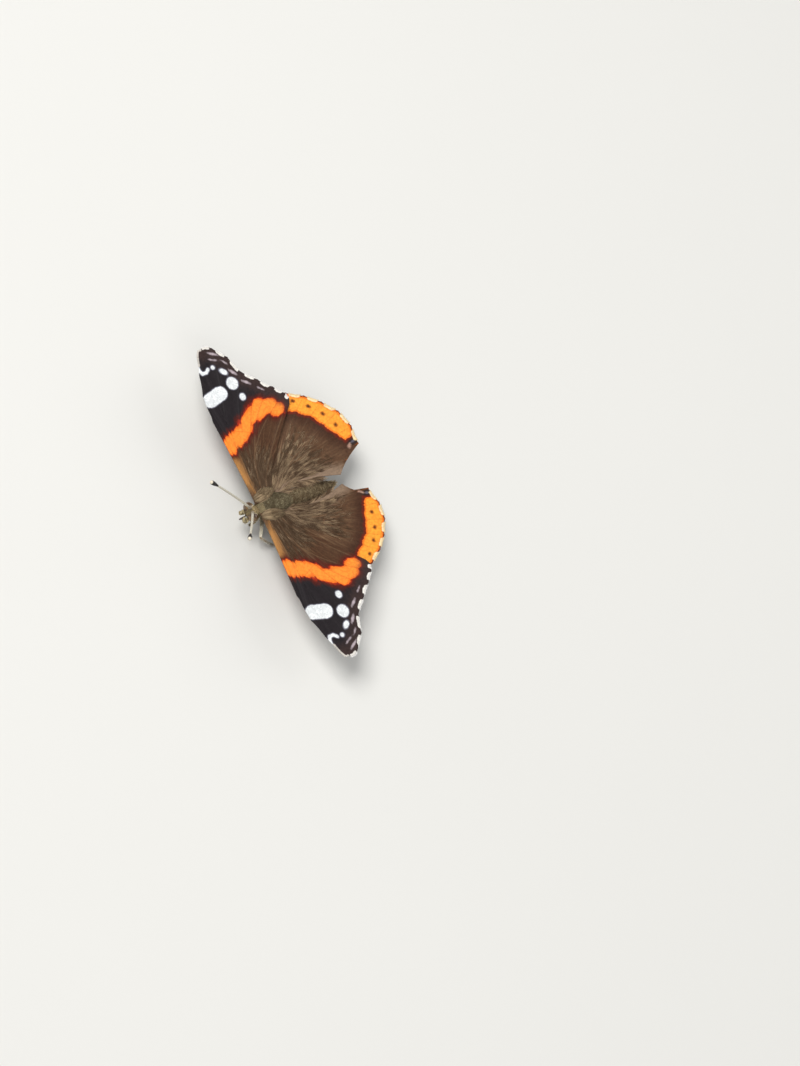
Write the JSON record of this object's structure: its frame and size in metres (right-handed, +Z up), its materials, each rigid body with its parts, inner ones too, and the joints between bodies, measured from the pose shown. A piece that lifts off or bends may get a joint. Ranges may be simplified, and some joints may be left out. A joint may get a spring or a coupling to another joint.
{
  "type": "red admiral butterfly",
  "caption": "Life-size red admiral butterfly standing with its wings spread flat, with veined wings, feelers, eyes, palps, coiled tongue and jointed legs at rest.",
  "frame": {"origin": "on the floor under the middle of the whole outline", "axes": "+Z up, head towards -Y, the butterfly's left side towards +X"},
  "size_m": [0.0654, 0.0362, 0.0179],
  "materials": {
    "forewing_scales": "matte scales: brown-black with a red-orange band and white spots",
    "hindwing_scales": "matte scales: brown with an orange-red margin band and small black spots",
    "body_hair": "soft grey-brown hair",
    "eye": "dark brown facets, slightly glossy",
    "feeler": "black, ringed with pale scales, pale tip",
    "tongue": "brown, horny",
    "leg": "straw-brown scales"
  },
  "bodies": {
    "root": {"thorax": "body_hair", "abdomen": "body_hair", "head": "body_hair", "proboscis": "tongue", "eye_left": "eye", "antenna_left": "feeler", "palp_left": "body_hair", "forewing_left": "forewing_scales", "hindwing_left": "hindwing_scales", "foreleg_left": "leg", "midleg_left": "leg", "hindleg_left": "leg", "eye_right": "eye", "antenna_right": "feeler", "palp_right": "body_hair", "forewing_right": "forewing_scales", "hindwing_right": "hindwing_scales", "foreleg_right": "leg", "midleg_right": "leg", "hindleg_right": "leg"}
  },
  "joints": []
}
